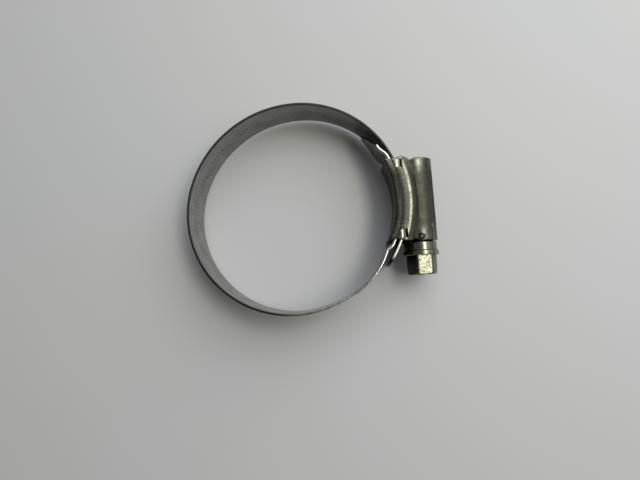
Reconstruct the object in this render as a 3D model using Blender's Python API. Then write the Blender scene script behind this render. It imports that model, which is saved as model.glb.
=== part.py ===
"""Worm-drive hose clip: a steel band closed to a loop by a screw in a pressed housing.

The loop lies flat, its axis along Z and its middle near the origin.  The housing is on
+X, its screw runs along Y with the hex towards -Y, and the loop closes as the screw
turns the right-hand way about +Y.  Angles are in degrees, anticlockwise from +X.
"""
import math

import bmesh
import bpy
from mathutils import Vector

MM = 0.001
TURN = 2.0 * math.pi

# Band
BAND_WIDTH = 13.0 * MM
BAND_THICKNESS = 0.65 * MM
CUT_GAP = 0.30 * MM             # left between two neighbouring lengths of band
THREAD_PITCH = 2.2 * MM
THREAD_DEPTH = 0.28 * MM        # of the grooves pressed into the outer face
THREAD_FLAT_HALF = 3.6 * MM     # half length of a groove at its full depth
THREAD_END_HALF = 4.3 * MM      # half length of a groove where it runs out
GROOVE_EDGE, GROOVE_FLOOR = -0.2, 0.9   # heights on the thread's cosine where a groove's wall is
STEPS_PER_PITCH = 6
PLAIN_STEP = 1.0 * MM

# Channel through the housing: every layer of it is an arc about one centre
CHANNEL_X = 1.3 * MM
CHANNEL_Y = 0.2 * MM
SADDLE_INNER = 24.45 * MM
SADDLE_THICKNESS = 0.80 * MM
LAYER_GAP = 0.20 * MM           # saddle to fixed end
BAND_GAP = 0.25 * MM            # fixed end to threaded end
FIXED_MID = SADDLE_INNER + SADDLE_THICKNESS + LAYER_GAP + BAND_THICKNESS / 2
THREADED_MID = FIXED_MID + BAND_THICKNESS + BAND_GAP
KNEE_MID = 25.10 * MM           # the band at the foot of its joggle, just outside the housing
LOOP_END_MID = 25.50 * MM       # the band where the free loop ends

# Threaded end: angles about the channel's centre
THREADED_START = 60.0
TAIL_TIP = -38.3
TAIL_CORNER = 3.0 * MM
TAIL_LIFT = 0.6 * MM            # how far the tail springs off its arc beyond the screw
LIFT_START, LIFT_END = -15.0, -24.0

# Fixed end: joggled up over the saddle, then a tongue that tapers under the threaded end
FIXED_START = -37.0
JOGGLE_FOOT = -31.5
JOGGLE_TOP = -27.0
TONGUE_TOP = 25.5
TONGUE_FOOT = 32.0
TONGUE_TAPER = 34.0
TONGUE_TIP = 46.0
TONGUE_TIP_HALF = 1.2 * MM
TONGUE_DROP = 0.75 * MM
FIXED_STEP = 0.75

# Free part of the loop: tangent arcs (radius, sweep), anticlockwise from the threaded end
LOOP_ARCS = (
    (26.70 * MM, 31.0),
    (29.40 * MM, 64.0),
    (25.96 * MM, 58.0),
    (26.60 * MM, 76.0),
    (44.85 * MM, 8.0),
    (20.00 * MM, 34.5),
)
LINK_COUNT = 7
THREADED_LINKS = 4              # those nearest the threaded end carry pressed threads

# Housing
HOUSING_HALF_LENGTH = 10.7 * MM
FLANK_HALF = 7.5 * MM           # half width over the flanks
WALL = 0.80 * MM
SHOULDER = 29.0 * MM            # top of the shoulder, as an arc about the channel's centre
SHOULDER_RADIUS = 1.0 * MM
SADDLE_CORNER = 0.7 * MM
BARREL_RADIUS = 4.5 * MM
VALLEY_MIDDLE = 31.40 * MM      # where the web meets the barrel, half way along the housing
VALLEY_BOW = 0.5                # share of the shoulder's arc that the valley follows
BARREL_MEET_INSIDE = 22.0       # where they meet inside, from +Z towards -X
ROLL_END = 60.0                 # how far the shoulder rolls over before the web starts
BARREL_STEPS = 14
HOUSING_SECTIONS = 16
WINDOW_X = 27.3 * MM
WINDOW_Y = 8.9 * MM
WINDOW_SIZE = (1.8 * MM, 2.2 * MM)
PIP_Y = -9.7 * MM
PIP_RADIUS = 0.65 * MM
PIP_DENT = 0.40 * MM
PIP_REACH = 2.85 * MM           # from the screw's axis to the tip of the pip

# Screw
SCREW_X = 31.8 * MM
CREST_RADIUS = 3.30 * MM
ROOT_RADIUS = 2.70 * MM
WORM_START = -8.6 * MM
WORM_END = 9.6 * MM
WORM_FADE = 1.0 * MM
NECK_RADIUS = 2.35 * MM
SHOULDER_START = -10.95 * MM
FLANGE_START = -13.2 * MM
HEX_START = -14.35 * MM
HEX_END = -19.4 * MM
COLLAR_RADIUS = 4.20 * MM
FLANGE_RADIUS = 4.57 * MM
HEX_FLATS = 7.0 * MM
HEX_TURN = 6.5                  # first flat's normal, from +Z towards +X
HEX_CHAMFER = 0.7 * MM
SLOT_WIDTH = 1.2 * MM
SLOT_DEPTH = 1.6 * MM
SLOT_CUT = 8.4 * MM             # length of the cutter across the hex
WORM_CREST_HALF, WORM_ROOT_HALF = 0.14, 0.34    # of a turn, from the middle of the crest
WORM_CHAMFER = 0.3 * MM
SCREW_POINTS = 24
SCREW_ROWS_PER_PITCH = 8


def clear_scene():
    for obj in list(bpy.data.objects):
        bpy.data.objects.remove(obj, do_unlink=True)


def metal(name, colour, roughness, metallic=1.0):
    material = bpy.data.materials.new(name)
    material.use_nodes = True
    shader = material.node_tree.nodes["Principled BSDF"]
    shader.inputs["Base Color"].default_value = (*colour, 1.0)
    shader.inputs["Roughness"].default_value = roughness
    shader.inputs["Metallic"].default_value = metallic
    material.diffuse_color = (*colour, 1.0)
    return material


def add_object(name, verts, faces, material, origin=(0.0, 0.0, 0.0), parent=None, smooth=True):
    """A mesh object from world positions, with its origin on its joint's axis."""
    origin = Vector(origin)
    mesh = bpy.data.meshes.new(name)
    mesh.from_pydata([Vector(v) - origin for v in verts], [], faces)
    mesh.validate()
    shaped = bmesh.new()
    shaped.from_mesh(mesh)
    bmesh.ops.recalc_face_normals(shaped, faces=shaped.faces)
    shaped.to_mesh(mesh)
    shaped.free()
    mesh.materials.append(material)
    if smooth:
        mesh.shade_smooth()
        mesh.set_sharp_from_angle(angle=math.radians(32.0))
    obj = bpy.data.objects.new(name, mesh)
    bpy.context.scene.collection.objects.link(obj)
    obj.location = origin
    if parent is not None:
        obj.parent = parent
        obj.location = origin - parent.matrix_world.translation
    bpy.context.view_layer.update()
    return obj


def smoothstep(low, high, value):
    t = min(max((value - low) / (high - low), 0.0), 1.0)
    return t * t * (3.0 - 2.0 * t)


def direction(degrees):
    return Vector((math.cos(math.radians(degrees)), math.sin(math.radians(degrees)), 0.0))


def channel_point(radius, degrees):
    return Vector((CHANNEL_X, CHANNEL_Y, 0.0)) + radius * direction(degrees)


# ---------------------------------------------------------------- band

def loop_station(distance):
    """Middle of the band and its outward angle, this far round the loop's free part."""
    point = channel_point(THREADED_MID, THREADED_START)
    outward = THREADED_START
    left = distance
    for radius, sweep in LOOP_ARCS:
        length = radius * math.radians(sweep)
        step = min(left, length)
        turned = math.degrees(step / radius)
        centre = point - radius * direction(outward)
        outward += turned
        point = centre + radius * direction(outward)
        left -= step
        if left <= 0.0:
            break
    return point, outward


def loop_length():
    return sum(radius * math.radians(sweep) for radius, sweep in LOOP_ARCS)


def thread_depth(along, z):
    """Depth of the pressed thread; it leans by the screw's lead, like the screw's crests."""
    lean = THREAD_PITCH / (TURN * (CREST_RADIUS + ROOT_RADIUS) / 2)
    wave = math.cos(TURN * (along - z * lean) / THREAD_PITCH)
    across = 1.0 - smoothstep(THREAD_FLAT_HALF, THREAD_END_HALF, abs(z))
    return THREAD_DEPTH * smoothstep(GROOVE_EDGE, GROOVE_FLOOR, wave) * across


def strip(stations, threaded):
    """Closed strip from stations (middle, outward angle, distance along, half width)."""
    columns = (-1.0, 1.0)
    if threaded:
        edge = BAND_WIDTH / 2
        columns = (-1.0, -THREAD_END_HALF / edge, -THREAD_FLAT_HALF / edge, 0.0,
                   THREAD_FLAT_HALF / edge, THREAD_END_HALF / edge, 1.0)
    verts, faces = [], []
    for middle, outward, along, half in stations:
        normal = direction(outward)
        for column in columns:
            z = column * half
            depth = thread_depth(along, z) if threaded else 0.0
            verts.append(middle + (BAND_THICKNESS / 2 - depth) * normal + Vector((0, 0, z)))
        for side in (1.0, -1.0):
            verts.append(middle - BAND_THICKNESS / 2 * normal + Vector((0, 0, side * half)))
    ring = len(columns) + 2
    for row in range(len(stations) - 1):
        for i in range(ring):
            j = (i + 1) % ring
            faces.append((row * ring + i, row * ring + j, (row + 1) * ring + j, (row + 1) * ring + i))
    last = (len(stations) - 1) * ring
    faces.append(tuple(range(ring)))
    faces.append(tuple(last + i for i in reversed(range(ring))))
    return verts, faces


def spread(low, high, step):
    count = max(1, round((high - low) / step))
    return [low + (high - low) * i / count for i in range(count + 1)]


def band_link(number, material, parent):
    """One length of the free loop; link 1 is next to the fixed end."""
    length = loop_length() / LINK_COUNT
    far = loop_length() - (number - 1) * length
    near = far - length
    threaded = number > LINK_COUNT - THREADED_LINKS
    step = THREAD_PITCH / STEPS_PER_PITCH if threaded else PLAIN_STEP
    start = THREADED_MID * math.radians(THREADED_START)
    stations = []
    for distance in spread(near + CUT_GAP / 2, far - CUT_GAP / 2, step):
        middle, outward = loop_station(distance)
        stations.append((middle, outward, start + distance, BAND_WIDTH / 2))
    hinge, _ = loop_station(far)
    verts, faces = strip(stations, threaded)
    return add_object(f"band_link_{number}", verts, faces, material, hinge, parent)


def turned_outward(radius_at, angle):
    """Outward angle of a strip whose radius about the channel's centre changes with angle."""
    tiny = 0.01
    slope = (radius_at(angle + tiny) - radius_at(angle - tiny)) / math.radians(2 * tiny)
    return angle - math.degrees(math.atan2(slope, radius_at(angle)))


def threaded_radius(angle):
    return THREADED_MID + TAIL_LIFT * smoothstep(-LIFT_START, -LIFT_END, -angle)


def threaded_end(material, parent):
    gap = math.degrees(CUT_GAP / 2 / THREADED_MID)
    step = math.degrees(THREAD_PITCH / STEPS_PER_PITCH / THREADED_MID)
    stations = []
    for angle in spread(TAIL_TIP, THREADED_START - gap, step):
        along = THREADED_MID * math.radians(angle)
        from_tip = THREADED_MID * math.radians(angle - TAIL_TIP)
        inset = max(0.0, TAIL_CORNER - from_tip)
        half = BAND_WIDTH / 2 - TAIL_CORNER + math.sqrt(TAIL_CORNER ** 2 - inset ** 2)
        outward = turned_outward(threaded_radius, angle)
        stations.append((channel_point(threaded_radius(angle), angle), outward, along, half))
    verts, faces = strip(stations, True)
    hinge = channel_point(THREADED_MID, THREADED_START)
    return add_object("band_threaded_end", verts, faces, material, hinge, parent)


def fixed_radius(angle):
    lean = max(0.0, (JOGGLE_FOOT - angle) / (JOGGLE_FOOT - FIXED_START))
    rise = smoothstep(JOGGLE_FOOT, JOGGLE_TOP, angle)
    fall = smoothstep(TONGUE_TOP, TONGUE_FOOT, angle)
    knee = KNEE_MID + (LOOP_END_MID - KNEE_MID) * lean
    return knee + (FIXED_MID - KNEE_MID) * rise - TONGUE_DROP * fall


def fixed_end(material):
    """The joggled end that lies in the housing and shows beyond it as a pointed tongue."""
    stations = []
    start = FIXED_START + math.degrees(CUT_GAP / 2 / LOOP_END_MID)
    for angle in spread(start, TONGUE_TIP, FIXED_STEP):
        outward = turned_outward(fixed_radius, angle)
        taper = max(0.0, (angle - TONGUE_TAPER) / (TONGUE_TIP - TONGUE_TAPER))
        half = BAND_WIDTH / 2 + (TONGUE_TIP_HALF - BAND_WIDTH / 2) * taper
        stations.append((channel_point(fixed_radius(angle), angle), outward, 0.0, half))
    verts, faces = strip(stations, False)
    return add_object("band_fixed_end", verts, faces, material)


# ---------------------------------------------------------------- housing

def channel_x(radius, y):
    return CHANNEL_X + math.sqrt(radius ** 2 - (y - CHANNEL_Y) ** 2)


def corner(centre_x, centre_z, radius, first, last, steps):
    """Points round a corner; angles run from +Z towards +X."""
    points = []
    for i in range(steps + 1):
        a = math.radians(first + (last - first) * i / steps)
        points.append((centre_x + radius * math.sin(a), centre_z + radius * math.cos(a)))
    return points


def valley_x(y):
    return VALLEY_MIDDLE - VALLEY_BOW * (channel_x(SHOULDER, CHANNEL_Y) - channel_x(SHOULDER, y))


def housing_half_section(y, inset):
    """Half of the housing's outline at y, from under the saddle to the top of the barrel."""
    saddle = channel_x(SADDLE_INNER + inset, y)
    shoulder = channel_x(SHOULDER, y) - inset
    flank = FLANK_HALF - inset
    low = max(SADDLE_CORNER - inset, 0.1 * MM)
    high = max(SHOULDER_RADIUS - inset, 0.2 * MM)
    meet_outside = math.degrees(math.asin((SCREW_X - valley_x(y)) / BARREL_RADIUS))
    meet = meet_outside if inset == 0.0 else BARREL_MEET_INSIDE
    points = [(saddle, 0.0)]
    points += corner(saddle + low, flank - low, low, -90.0, 0.0, 3)
    points += corner(shoulder - high, flank - high, high, 0.0, ROLL_END, 4)
    points += corner(SCREW_X, 0.0, BARREL_RADIUS - inset, -meet, 90.0, BARREL_STEPS)
    return points


def housing_loop(y, inset):
    half = housing_half_section(y, inset)
    mirrored = [(x, -z) for x, z in reversed(half[1:-1])]
    return [Vector((x, y, z)) for x, z in half + mirrored]


def carve(obj, operation, cutters):
    for cutter in cutters:
        cutter.hide_render = True
        cutter.display_type = "WIRE"
        change = obj.modifiers.new(cutter.name, "BOOLEAN")
        change.operation = operation
        change.solver = "EXACT"
        change.object = cutter
        bpy.context.view_layer.objects.active = obj
        bpy.ops.object.modifier_apply(modifier=change.name)
        bpy.data.objects.remove(cutter, do_unlink=True)


def box(name, centre, size, material):
    signs = [(a, b, c) for a in (-1, 1) for b in (-1, 1) for c in (-1, 1)]
    verts = [Vector(centre) + Vector((a * size[0], b * size[1], c * size[2])) / 2
             for a, b, c in signs]
    faces = [(0, 1, 3, 2), (4, 6, 7, 5), (0, 4, 5, 1), (2, 3, 7, 6), (0, 2, 6, 4), (1, 5, 7, 3)]
    return add_object(name, verts, faces, material, smooth=False)


def cone(name, centre, low_z, low_radius, high_z, high_radius, material, points=16):
    """A stub along Z, widening or narrowing from low_z to high_z."""
    verts = []
    for z, radius in ((low_z, low_radius), (high_z, high_radius)):
        for i in range(points):
            a = TURN * i / points
            verts.append((centre[0] + radius * math.cos(a), centre[1] + radius * math.sin(a), z))
    faces = [tuple(range(points)), tuple(range(2 * points - 1, points - 1, -1))]
    for i in range(points):
        j = (i + 1) % points
        faces.append((i, j, points + j, points + i))
    return add_object(name, verts, faces, material, smooth=False)


def housing(material):
    """Saddle, flanks, shoulders and barrel in one wall, with its windows and screw pips."""
    verts, faces = [], []
    rows = spread(-HOUSING_HALF_LENGTH, HOUSING_HALF_LENGTH, 2 * HOUSING_HALF_LENGTH / HOUSING_SECTIONS)
    for y in rows:
        verts += housing_loop(y, 0.0) + housing_loop(y, WALL)
    loop = len(housing_loop(0.0, 0.0))
    ring = 2 * loop
    for row in range(len(rows) - 1):
        here, there = row * ring, (row + 1) * ring
        for side in (0, loop):
            for i in range(loop):
                j = (i + 1) % loop
                faces.append((here + side + i, here + side + j, there + side + j, there + side + i))
    for here in (0, (len(rows) - 1) * ring):
        for i in range(loop):
            j = (i + 1) % loop
            faces.append((here + i, here + j, here + loop + j, here + loop + i))
    obj = add_object("housing", verts, faces, material)

    windows, pips, dents = [], [], []
    pip_at = (SCREW_X, PIP_Y)
    for side in (1, -1):
        for end in (1, -1):
            centre = (WINDOW_X, end * WINDOW_Y, side * (FLANK_HALF - WALL / 2))
            size = (*WINDOW_SIZE, 2.5 * WALL)
            windows.append(box("window", centre, size, material))
        middle = BARREL_RADIUS - WALL / 2
        pips.append(cone("pip", pip_at, side * PIP_REACH, PIP_RADIUS / 2,
                         side * middle, PIP_RADIUS, material))
        dents.append(cone("dent", pip_at, side * (BARREL_RADIUS - PIP_DENT), PIP_RADIUS / 3,
                          side * (BARREL_RADIUS + PIP_DENT), PIP_RADIUS * 1.6, material))
    carve(obj, "DIFFERENCE", windows)
    carve(obj, "UNION", pips)
    carve(obj, "DIFFERENCE", dents)
    return obj


# ---------------------------------------------------------------- screw

def worm_radius(y, angle):
    """Trapezoid thread, right-handed about +Y, with a crest over the band's middle groove."""
    turn = (y / THREAD_PITCH - (angle + 90.0) / 360.0) % 1.0
    offset = min(turn, 1.0 - turn)
    height = 1.0 - smoothstep(WORM_CREST_HALF, WORM_ROOT_HALF, offset)
    fade = smoothstep(WORM_START, WORM_START + WORM_FADE, y)
    fade *= 1.0 - smoothstep(WORM_END - WORM_FADE, WORM_END, y)
    return ROOT_RADIUS + (CREST_RADIUS - ROOT_RADIUS) * height * fade


def hex_radius(angle):
    nearest = (angle - HEX_TURN + 30.0) % 60.0 - 30.0
    return HEX_FLATS / 2 / math.cos(math.radians(nearest))


def screw(material, parent):
    """Worm, neck, shoulder, flange and slotted hex, turned from one bar."""
    flat = HEX_FLATS / 2
    rows = [
        (HEX_END, lambda a: min(hex_radius(a), flat)),
        (HEX_END + HEX_CHAMFER / 2, lambda a: min(hex_radius(a), flat + HEX_CHAMFER / 2)),
        (HEX_END + HEX_CHAMFER, hex_radius),
        (HEX_START, hex_radius),
        (HEX_START, lambda a: FLANGE_RADIUS),
        (FLANGE_START, lambda a: FLANGE_RADIUS),
        (FLANGE_START, lambda a: COLLAR_RADIUS),
        (SHOULDER_START, lambda a: COLLAR_RADIUS),
        (SHOULDER_START, lambda a: NECK_RADIUS),
        (WORM_START - WORM_CHAMFER, lambda a: NECK_RADIUS),
    ]
    for y in spread(WORM_START, WORM_END, THREAD_PITCH / SCREW_ROWS_PER_PITCH):
        rows.append((y, lambda a, y=y: worm_radius(y, a)))
    rows.append((WORM_END + WORM_CHAMFER, lambda a: ROOT_RADIUS - WORM_CHAMFER))

    verts, faces = [], []
    step = 360.0 / SCREW_POINTS
    for y, radius in rows:
        for i in range(SCREW_POINTS):
            angle = HEX_TURN + 30.0 + i * step
            a = math.radians(angle)
            r = radius(angle)
            verts.append((SCREW_X + r * math.sin(a), y, r * math.cos(a)))
    for row in range(len(rows) - 1):
        for i in range(SCREW_POINTS):
            j = (i + 1) % SCREW_POINTS
            here, there = row * SCREW_POINTS, (row + 1) * SCREW_POINTS
            faces.append((here + i, here + j, there + j, there + i))
    last = (len(rows) - 1) * SCREW_POINTS
    faces.append(tuple(range(SCREW_POINTS)))
    faces.append(tuple(last + i for i in reversed(range(SCREW_POINTS))))
    obj = add_object("worm_screw", verts, faces, material, (SCREW_X, 0.0, 0.0), parent)

    reach = 2 * SLOT_DEPTH
    slot = box("slot", (SCREW_X, HEX_END + SLOT_DEPTH - reach / 2, 0.0),
               (SLOT_CUT, reach, SLOT_WIDTH), material)
    carve(obj, "DIFFERENCE", [slot])
    return obj


# ---------------------------------------------------------------- assembly

def main():
    clear_scene()
    band_steel = metal("band_steel", (0.40, 0.40, 0.39), 0.34)
    housing_steel = metal("housing_steel", (0.36, 0.34, 0.31), 0.38)
    screw_steel = metal("screw_steel", (0.42, 0.40, 0.37), 0.32)

    base = housing(housing_steel)
    fixed_end(band_steel)
    screw(screw_steel, base)
    parent = base
    for number in range(1, LINK_COUNT + 1):
        parent = band_link(number, band_steel, parent)
    threaded_end(band_steel, parent)


main()
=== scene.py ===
import math

import bmesh
import bpy
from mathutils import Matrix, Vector


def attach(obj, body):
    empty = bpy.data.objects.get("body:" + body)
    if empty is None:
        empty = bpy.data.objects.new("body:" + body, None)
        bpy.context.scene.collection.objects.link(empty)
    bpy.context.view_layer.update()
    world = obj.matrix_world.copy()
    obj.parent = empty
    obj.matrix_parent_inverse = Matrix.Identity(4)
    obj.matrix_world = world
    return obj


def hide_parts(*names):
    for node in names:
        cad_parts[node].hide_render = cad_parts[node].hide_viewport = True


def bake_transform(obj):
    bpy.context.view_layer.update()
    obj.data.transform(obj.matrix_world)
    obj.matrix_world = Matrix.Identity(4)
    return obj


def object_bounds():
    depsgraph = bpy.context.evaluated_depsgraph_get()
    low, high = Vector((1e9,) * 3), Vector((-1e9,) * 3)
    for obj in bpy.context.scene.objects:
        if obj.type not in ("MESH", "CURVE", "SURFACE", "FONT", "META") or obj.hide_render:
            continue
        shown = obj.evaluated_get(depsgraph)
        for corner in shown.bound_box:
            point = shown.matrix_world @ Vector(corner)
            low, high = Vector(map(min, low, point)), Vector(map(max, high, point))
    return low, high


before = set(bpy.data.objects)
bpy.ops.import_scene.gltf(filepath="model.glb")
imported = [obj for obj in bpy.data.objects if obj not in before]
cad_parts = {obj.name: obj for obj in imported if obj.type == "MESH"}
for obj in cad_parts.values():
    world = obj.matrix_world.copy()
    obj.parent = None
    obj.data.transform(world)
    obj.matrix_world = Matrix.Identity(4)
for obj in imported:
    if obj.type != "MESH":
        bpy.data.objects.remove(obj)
CAD_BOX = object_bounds()

MM = 0.001
TURN = 2.0 * math.pi

# ------------------------------------------------------------------ sizes

# Band
BAND_HALF = 6.5 * MM
BAND_THICKNESS = 0.65 * MM
BAND_EDGE = 0.16 * MM           # how far the slit edge rounds over
EDGE_POWER = 0.55               # below 1 it is squarer than a half circle
EDGE_ANGLES = (60.0, 25.0, -25.0, -60.0)
BAND_COLUMNS = 27
BAND_SHARP = 50.0
THREAD_PITCH = 2.2 * MM
THREAD_DEPTH = 0.30 * MM
THREAD_FLAT_HALF = 3.6 * MM     # full depth out to here across the band, none past the next
THREAD_END_HALF = 4.4 * MM
THREAD_RUN_OUT = 3.0 * MM       # how far it runs out along the band
THREAD_WALL = (-0.2, 0.9)       # of its cosine: the band's face, the groove's bottom
THREAD_GHOST = 0.006 * MM       # how far the pressed thread shows through inside
THREAD_STEP = 0.22 * MM
PLAIN_STEP = 0.6 * MM

# Channel through the housing
CHANNEL = Vector((1.3 * MM, 0.2 * MM, 0.0))
SADDLE_INNER = 24.45 * MM
WALL = 0.80 * MM
FIXED_MID = SADDLE_INNER + WALL + 0.20 * MM + BAND_THICKNESS / 2
THREADED_MID = FIXED_MID + BAND_THICKNESS + 0.25 * MM
KNEE_MID = 25.10 * MM           # the fixed end's radius at the joggle's foot
LOOP_END_MID = 25.50 * MM       # and where the free loop takes over

# Angles about the channel's centre, anticlockwise from +X
THREADED_START = 60.0
TAIL_TIP = -38.3
TAIL_CORNER = 3.0 * MM
TAIL_LIFT = 0.6 * MM            # how far the tail springs outward
LIFT_START, LIFT_END = -15.0, -24.0
FIXED_START = -37.0
JOGGLE_FOOT, JOGGLE_TOP = -31.5, -27.0
TONGUE_TOP, TONGUE_FOOT = 25.5, 32.0
TONGUE_TAPER, TONGUE_TIP = 34.0, 46.0
TONGUE_TIP_HALF = 1.2 * MM
TONGUE_DROP = 0.75 * MM
FIXED_STEP = 0.25

# Free part of the loop: tangent arcs (radius, sweep), anticlockwise from the threaded end
LOOP_ARCS = (
    (26.70 * MM, 31.0),
    (29.40 * MM, 64.0),
    (25.96 * MM, 58.0),
    (26.60 * MM, 76.0),
    (44.85 * MM, 8.0),
    (20.00 * MM, 34.5),
)
LINK_COUNT = 7
THREADED_LINKS = 4

# How far past the end hinges a point is set, in half links
FIXED_REACH, THREADED_REACH = 0.25, 0.6

# Housing
HOUSING_HALF_LENGTH = 10.7 * MM
FLANK_HALF = 7.5 * MM
CREASE = 26.1 * MM              # shallow fold along the flank, an arc about the channel's centre
CREASE_DEPTH = 0.05 * MM
CREASE_LIPS = (0.07 * MM, 0.22 * MM)
CREASE_LIP_DROP = 0.02 * MM     # how far the outer lip stays below the flank
CREASE_TO_SHOULDER = 1.6 * MM   # the least distance between them
PLAIN_MARGINS = (0.35 * MM, 0.25 * MM)  # of the plain stretch between crease and bead
SHOULDER = 29.0 * MM
SHOULDER_RADIUS = 0.75 * MM
BEAD_RADIUS = 2.6 * MM
SHOULDER_FALL = 3.0             # how far the flank leans over before it rolls down, in degrees
BEAD_TURN, WEB_TURN = 16.0, 66.0    # its lean where the bead ends and where the web starts
SADDLE_CORNER = 0.35 * MM
BARREL_RADIUS = 4.5 * MM
BARREL_STEPS = 28
VALLEY_MIDDLE = 31.40 * MM      # where the web meets the barrel half way along
VALLEY_BOW = 0.5                # how much of the shoulder's arc the valley follows
INSIDE_TURN = 12.0              # how much further from +Z web and barrel meet inside, in degrees
END_DRAW = 0.45 * MM            # how far the sheet's ends are drawn back
DRAW_REACH = 3.0 * MM           # over this much of the housing's length
VALLEY_SPREAD = 0.7 * MM        # how wide the drawn-back stretch at the valley is
SADDLE_SPREAD = (1.4 * MM, 3.6 * MM)    # and how it eases off from the saddle
LIP = 0.18 * MM                 # rounding of the sheet's cut ends
HOUSING_STEP = 0.45 * MM
WINDOW_X = 27.3 * MM
WINDOW_Y = 8.9 * MM
WINDOW_SIZE = (1.8 * MM, 2.2 * MM)
WINDOW_CUT = (0.5 * MM, 0.4 * MM)   # how far its cutter passes the sheet outside and inside
HOUSING_SHARP = 32.0
TAB_RADIUS = 2.4 * MM
TAB_BEND = 47.0
TAB_THICKNESS = 0.35 * MM
TAB_ROOT = 0.05 * MM            # how far the tab's root reaches into the sheet
TAB_BELOW = 0.03 * MM           # how far it lies below the flank there
TAB_GAP = 0.12 * MM             # from its cut sides to the window
TAB_STEP = 3.0
PIP_Y = -9.7 * MM
PIP_RADIUS = 0.75 * MM
# The pip from rim to middle: (share of its radius, height above the barrel)
PIP_PROFILE = (
    (1.25, 0.0), (1.1, 0.035 * MM), (0.95, 0.0), (0.8, -0.16 * MM), (0.65, -0.30 * MM),
    (0.5, -0.33 * MM), (0.35, -0.26 * MM), (0.2, -0.21 * MM), (0.05, -0.19 * MM),
)
PIP_POINTS = 24
PIP_SHARP = 60.0

# Screw
SCREW_X = 31.8 * MM
CREST_RADIUS = 3.30 * MM
ROOT_RADIUS = 2.70 * MM
NECK_RADIUS = 2.35 * MM
WORM_START, WORM_END = -8.6 * MM, 9.6 * MM
WORM_FADE = 1.0 * MM
COLLAR_START = -11.05 * MM
FLANGE_START = -13.2 * MM
HEX_START = -14.35 * MM
HEX_END = -19.4 * MM
COLLAR_RADIUS = 4.20 * MM
FLANGE_RADIUS = 4.57 * MM
HEX_FLATS = 7.0 * MM
HEX_TURN = 6.5                  # first flat's normal, from +Z towards +X
HEX_EDGE = 0.14 * MM            # how far the hex's long edges are rubbed down
HEX_EDGE_KEPT = 0.25            # share of the sharp edge left standing past that
HEX_END_SHARE = 0.93            # radius of the end face against half the flats
HEX_CONE_SHARE = 0.94           # and of the chamfer's foot
HEX_CONE = 1.5                  # radius gained per length up the chamfer
CHAMFER = (0.02 * MM, 0.62 * MM)    # where its rows lie, from the end face
CHAMFER_STEP = 0.05 * MM
HEX_BODY = 0.7 * MM             # where the hex's plain rows start, from the end face
HEX_STEP = 0.35 * MM
TURNED_EASE = 0.12 * MM         # rounding of the collar's and flange's edges
CREST_SHARE, FLANK_SHARE = 0.14, 0.34   # of a turn, from the crest's middle
WORM_ROWS = 18                  # to a turn of the thread
NECK_STOP = 0.2 * MM            # how far before the worm the neck ends
TIP_CHAMFER = 0.3 * MM
SCREW_SHARP = 28.0
SLOT_WIDTH = 1.2 * MM
SLOT_DEPTH = 1.6 * MM
SLOT_REACH = 1.3                # the cutter's half length against half the flats
SCREW_POINTS = 96

# Finish: linear colours for bare steel, oily film, and dirt that also serves as painted shade
BAND_COLOURS = ((0.30, 0.30, 0.29, 1.0), (0.20, 0.20, 0.19, 1.0), (0.05, 0.05, 0.043, 1.0))
HOUSING_COLOURS = ((0.108, 0.105, 0.085, 1.0), (0.060, 0.056, 0.040, 1.0), (0.012, 0.010, 0.008, 1.0))
SCREW_COLOURS = ((0.130, 0.127, 0.100, 1.0), (0.075, 0.072, 0.052, 1.0), (0.012, 0.010, 0.008, 1.0))
RIM_COLOUR = (0.045, 0.043, 0.033, 1.0)
# Painted glint for the slit rims at the tail and towards the fixed end
RIM_GLINT_COLOUR = (0.72, 0.71, 0.67, 1.0)

# Places along the band, and the ghosts of its thread on the inside
GREASE_AND_SHADE_END = 24.5 * MM          # greasy, with painted shade, from the tail to here
GREASE_AND_SHADE_FADE = 1.5 * MM
RIM_GLINT_TAIL = (-5.5 * MM, -8.0 * MM)      # the rim's painted glint sets in from the first to the second
RIM_GLINT_LOOP_END = (34 * MM, 12 * MM)      # and again, measured back from the free loop's end
LOWER_LEFT_SHADE = (84 * MM, 104 * MM, 120 * MM, 142 * MM)     # painted shade: sets in over the first two, fades over the rest
GHOST_MIDDLE = -0.6 * MM        # across the band
GHOST_HALF = (3.0 * MM, 1.8 * MM)       # none past the first, full within the second
GHOST_FADE = 8.0                # over how many threads they fade out

# Light and view
WORLD_COLOUR = (0.12, 0.12, 0.12, 1.0)
PANELS = (
    # name, direction from the loop's middle, distance, size, power, colour
    ("key", (0.42, 0.56, 0.72), 0.42, (0.46, 0.46), 1.19, (0.96, 0.98, 1.0)),
    ("side", (0.80, 0.12, 0.50), 0.60, (0.50, 0.50), 0.30, (0.97, 0.98, 1.0)),
    ("lamp", (0.44, 0.02, 0.90), 0.70, (0.42, 0.15), 1.2, (1.0, 0.98, 0.82)),
)
FLOOR_HALF = 1.6
FLOOR_DROP = 0.02 * MM          # how far the floor lies below the part
FLOOR_COLOURS = ((0.70, 0.705, 0.705, 1.0), (0.69, 0.695, 0.72, 1.0))
LENS = 28.38
CAMERA_PLACE = (15.13 * MM, -19.93 * MM, 133.28 * MM)
CAMERA_TURN = (4.645, 4.405, -3.9)      # degrees about X, Y and Z


def smoothstep(low, high, value):
    t = min(max((value - low) / (high - low), 0.0), 1.0)
    return t * t * (3.0 - 2.0 * t)


def direction(degrees):
    return Vector((math.cos(math.radians(degrees)), math.sin(math.radians(degrees)), 0.0))


def spread(low, high, step):
    count = max(1, round(abs(high - low) / step))
    return [low + (high - low) * i / count for i in range(count + 1)]


def face_outward(mesh, merge=0.0):
    """Turns the faces outward, once points nearer than merge are joined."""
    shaped = bmesh.new()
    shaped.from_mesh(mesh)
    if merge:
        bmesh.ops.remove_doubles(shaped, verts=shaped.verts, dist=merge)
    bmesh.ops.recalc_face_normals(shaped, faces=shaped.faces)
    shaped.to_mesh(mesh)
    shaped.free()


def smooth(mesh, sharp):
    mesh.shade_smooth()
    mesh.set_sharp_from_angle(angle=math.radians(sharp))


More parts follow.
